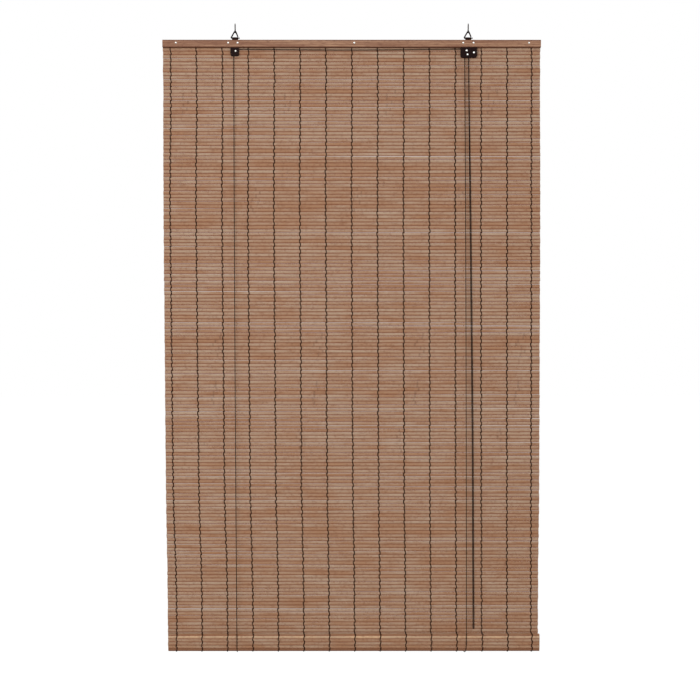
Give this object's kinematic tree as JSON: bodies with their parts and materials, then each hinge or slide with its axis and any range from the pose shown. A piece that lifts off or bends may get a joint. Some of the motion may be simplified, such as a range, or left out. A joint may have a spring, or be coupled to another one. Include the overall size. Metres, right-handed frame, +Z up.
{
  "type": "bamboo roll up blind",
  "caption": "Roll up window blind of split bamboo slats under a wooden head rail, hung from two screw hooks, with lift cords, pulleys, a cord lock and a flat bottom roll.",
  "frame": {"origin": "in the ceiling plane, midway between the two screw hooks' shanks", "axes": "+X to the right seen from the room, +Y away from the room towards the window, +Z up"},
  "size_m": [1.006, 0.0299, 1.6802],
  "materials": {
    "rail_wood": "satin stained softwood, grain along the rail",
    "bamboo": "split bamboo slats, pale streaks and darker edges",
    "bar_wood": "plain sawn wood",
    "warp_thread": "twisted brown cotton thread",
    "cord": "braided dark brown cord",
    "dark_steel": "dark brown painted steel",
    "hook_steel": "browned steel screw hook",
    "nickel": "bright nickel",
    "staple_steel": "plain steel wire",
    "pulley_plastic": "dark nylon"
  },
  "bodies": {
    "hangers": {"left_hook": "hook_steel", "right_hook": "hook_steel", "left_ring": "dark_steel", "right_ring": "dark_steel"},
    "blind": {"head_rail_front": "rail_wood", "head_rail_back": "rail_wood", "rail_nails": "nickel", "reed_mat": "bamboo", "left_bracket": "dark_steel", "lock_bracket": "dark_steel", "left_pulley_pin": "nickel", "lock_pulley_pin": "nickel", "lock_anvil_pin": "nickel", "lock_pawl_pin": "nickel", "left_staple": "staple_steel", "right_staple": "staple_steel", "left_cord_back": "cord", "right_cord_back": "cord", "left_cord_front": "cord", "right_cord_front": "cord", "cross_cord": "cord", "lock_cord": "cord", "pull_cord": "cord", "warp_thread_01": "warp_thread", "warp_thread_02": "warp_thread", "warp_thread_03": "warp_thread", "warp_thread_04": "warp_thread", "warp_thread_05": "warp_thread", "warp_thread_06": "warp_thread", "warp_thread_07": "warp_thread", "warp_thread_08": "warp_thread", "warp_thread_09": "warp_thread", "warp_thread_10": "warp_thread", "warp_thread_11": "warp_thread", "warp_thread_12": "warp_thread", "warp_thread_13": "warp_thread", "warp_thread_14": "warp_thread", "warp_thread_15": "warp_thread"},
    "lift_slings": {"left_sling": "cord", "right_sling": "cord"},
    "bottom_roll": {"hem_bar": "bar_wood", "hem_wrap": "bamboo", "hem_threads": "warp_thread"},
    "left_pulley_body": {"left_pulley": "pulley_plastic"},
    "lock_rear_pulley_body": {"lock_rear_pulley": "pulley_plastic"},
    "lock_front_pulley_body": {"lock_front_pulley": "pulley_plastic"},
    "lock_pawl_body": {"lock_pawl": "dark_steel"}
  },
  "joints": [
    {"name": "hang_swing", "type": "hinge", "parent": "hangers", "child": "blind", "pos_m": [0, 0, -0.02635], "axis": [1, 0, 0], "range_deg": [-20, 20]},
    {"name": "roll_lift", "type": "slide", "parent": "blind", "child": "lift_slings", "axis": [0, 0, 1], "range_m": [0, 1.5], "deforming": ["reed_mat", "warp_thread_01", "warp_thread_02", "warp_thread_03", "warp_thread_04", "warp_thread_05", "warp_thread_06", "warp_thread_07", "warp_thread_08", "warp_thread_09", "warp_thread_10", "warp_thread_11", "warp_thread_12", "warp_thread_13", "warp_thread_14", "warp_thread_15", "left_cord_back", "right_cord_back", "left_cord_front", "right_cord_front", "left_sling", "right_sling", "pull_cord"]},
    {"name": "roll_turn", "type": "hinge", "parent": "lift_slings", "child": "bottom_roll", "pos_m": [0.006, -0.01015, -1.6411], "axis": [1, 0, 0], "range_deg": [-2885, 5]},
    {"name": "left_pulley_turn", "type": "hinge", "parent": "blind", "child": "left_pulley_body", "pos_m": [-0.307, -0.00445, -0.0612], "axis": [0, 1, 0], "continuous": true},
    {"name": "lock_rear_pulley_turn", "type": "hinge", "parent": "blind", "child": "lock_rear_pulley_body", "pos_m": [0.3036, -0.00445, -0.0605], "axis": [0, 1, 0], "continuous": true},
    {"name": "lock_front_pulley_turn", "type": "hinge", "parent": "blind", "child": "lock_front_pulley_body", "pos_m": [0.3036, -0.00835, -0.0605], "axis": [0, 1, 0], "continuous": true},
    {"name": "lock_pawl_swing", "type": "hinge", "parent": "blind", "child": "lock_pawl_body", "pos_m": [0.3229, -0.0064, -0.0655], "axis": [0, 1, 0], "range_deg": [0, 44]}
  ],
  "couplings": [
    {"joint": "roll_turn", "follows": "roll_lift", "rad_per_m": -33.51},
    {"joint": "left_pulley_turn", "follows": "roll_lift", "rad_per_m": 388.35},
    {"joint": "lock_rear_pulley_turn", "follows": "roll_lift", "rad_per_m": 388.35},
    {"joint": "lock_front_pulley_turn", "follows": "roll_lift", "rad_per_m": 388.35}
  ]
}
